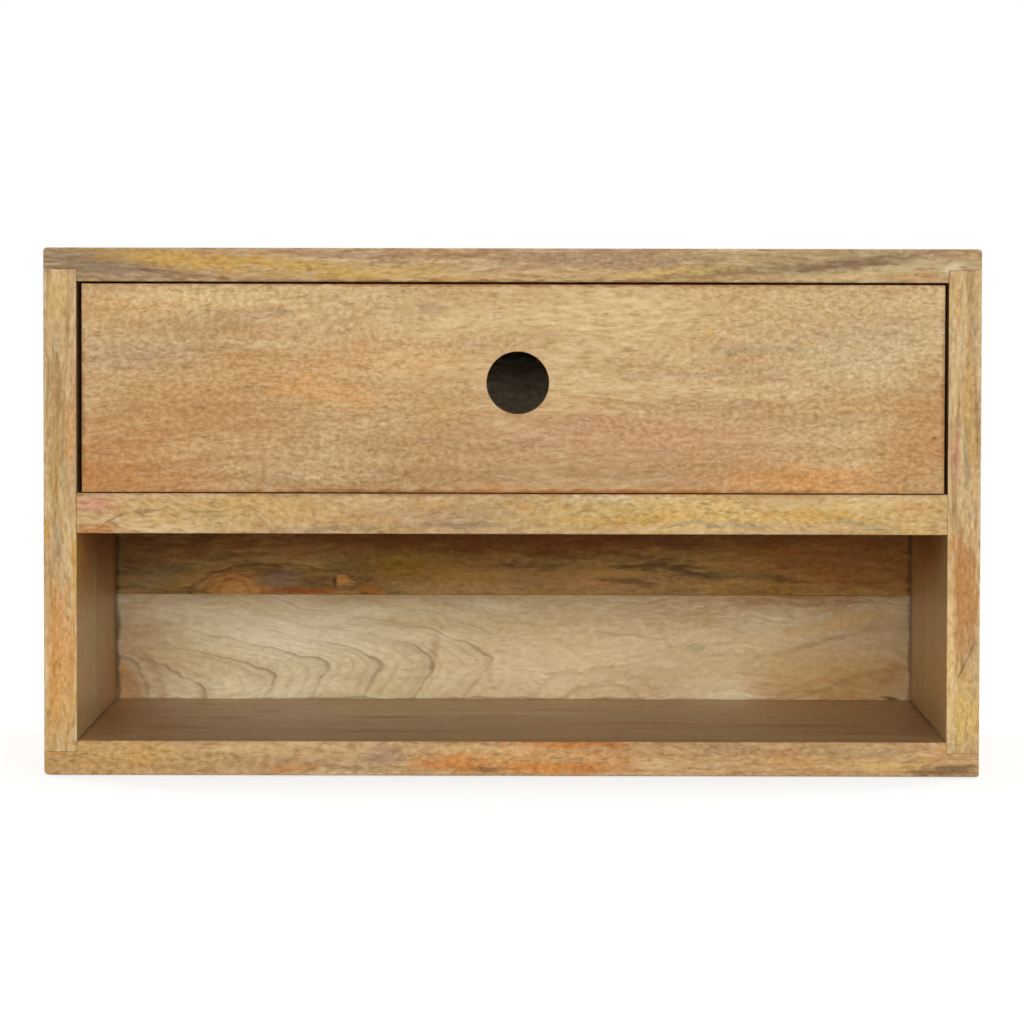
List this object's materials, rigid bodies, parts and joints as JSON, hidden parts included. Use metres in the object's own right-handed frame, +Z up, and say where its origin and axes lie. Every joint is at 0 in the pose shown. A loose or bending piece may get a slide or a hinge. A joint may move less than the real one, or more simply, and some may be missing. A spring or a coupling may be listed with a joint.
{
  "type": "floating nightstand",
  "caption": "Wall-hung solid wood nightstand: an oblong box with a sliding drawer pulled by a round finger hole, above an open bay with a boarded back.",
  "frame": {"origin": "middle of the back face, on the plane of the wall that it hangs on", "axes": "+X along the width, to the right as seen from the front; +Y into the wall; +Z up; the drawer opens towards -Y"},
  "size_m": [0.45, 0.25, 0.2536],
  "materials": {
    "carcass_wood": "clear satin lacquer over straight to wavy grain, honey to grey-brown",
    "drawer_wood": "clear satin lacquer, honey with fine dark pores",
    "back_wood_pale": "clear satin lacquer, pale greyish cream with dark figure lines",
    "back_wood_dark": "clear satin lacquer, olive brown with a reddish knot",
    "dowel_wood": "plain turned beech",
    "zinc_steel": "bright zinc plate"
  },
  "bodies": {
    "cabinet": {"top_panel": "carcass_wood", "bottom_panel": "carcass_wood", "side_panel_left": "carcass_wood", "side_panel_right": "carcass_wood", "middle_shelf": "carcass_wood", "shelf_dowel_left_1": "dowel_wood", "shelf_dowel_left_2": "dowel_wood", "shelf_dowel_left_3": "dowel_wood", "shelf_dowel_right_1": "dowel_wood", "shelf_dowel_right_2": "dowel_wood", "shelf_dowel_right_3": "dowel_wood", "back_board_lower": "back_wood_pale", "back_board_middle": "back_wood_dark", "back_board_upper": "carcass_wood", "back_screw_1": "zinc_steel", "back_screw_2": "zinc_steel", "back_screw_3": "zinc_steel", "back_screw_4": "zinc_steel", "back_screw_5": "zinc_steel", "back_screw_6": "zinc_steel", "back_screw_7": "zinc_steel", "back_screw_8": "zinc_steel", "back_screw_9": "zinc_steel", "back_screw_10": "zinc_steel", "back_screw_11": "zinc_steel", "back_screw_12": "zinc_steel", "back_screw_13": "zinc_steel", "back_screw_14": "zinc_steel", "hanger_plate_left": "zinc_steel", "hanger_plate_right": "zinc_steel", "hanger_screw_left_1": "zinc_steel", "hanger_screw_left_2": "zinc_steel", "hanger_screw_right_1": "zinc_steel", "hanger_screw_right_2": "zinc_steel"},
    "drawer": {"drawer_front": "drawer_wood", "drawer_side_left": "drawer_wood", "drawer_side_right": "drawer_wood", "drawer_back": "drawer_wood", "drawer_bottom": "back_wood_pale", "drawer_pin_left_1": "zinc_steel", "drawer_pin_left_2": "zinc_steel", "drawer_pin_left_3": "zinc_steel", "drawer_pin_left_4": "zinc_steel", "drawer_pin_right_1": "zinc_steel", "drawer_pin_right_2": "zinc_steel", "drawer_pin_right_3": "zinc_steel", "drawer_pin_right_4": "zinc_steel", "drawer_bottom_pin_1": "zinc_steel", "drawer_bottom_pin_2": "zinc_steel", "drawer_bottom_pin_3": "zinc_steel"}
  },
  "joints": [
    {"name": "drawer_slide", "type": "slide", "parent": "cabinet", "child": "drawer", "axis": [0, -1, 0], "range_m": [0, 0.19]}
  ]
}
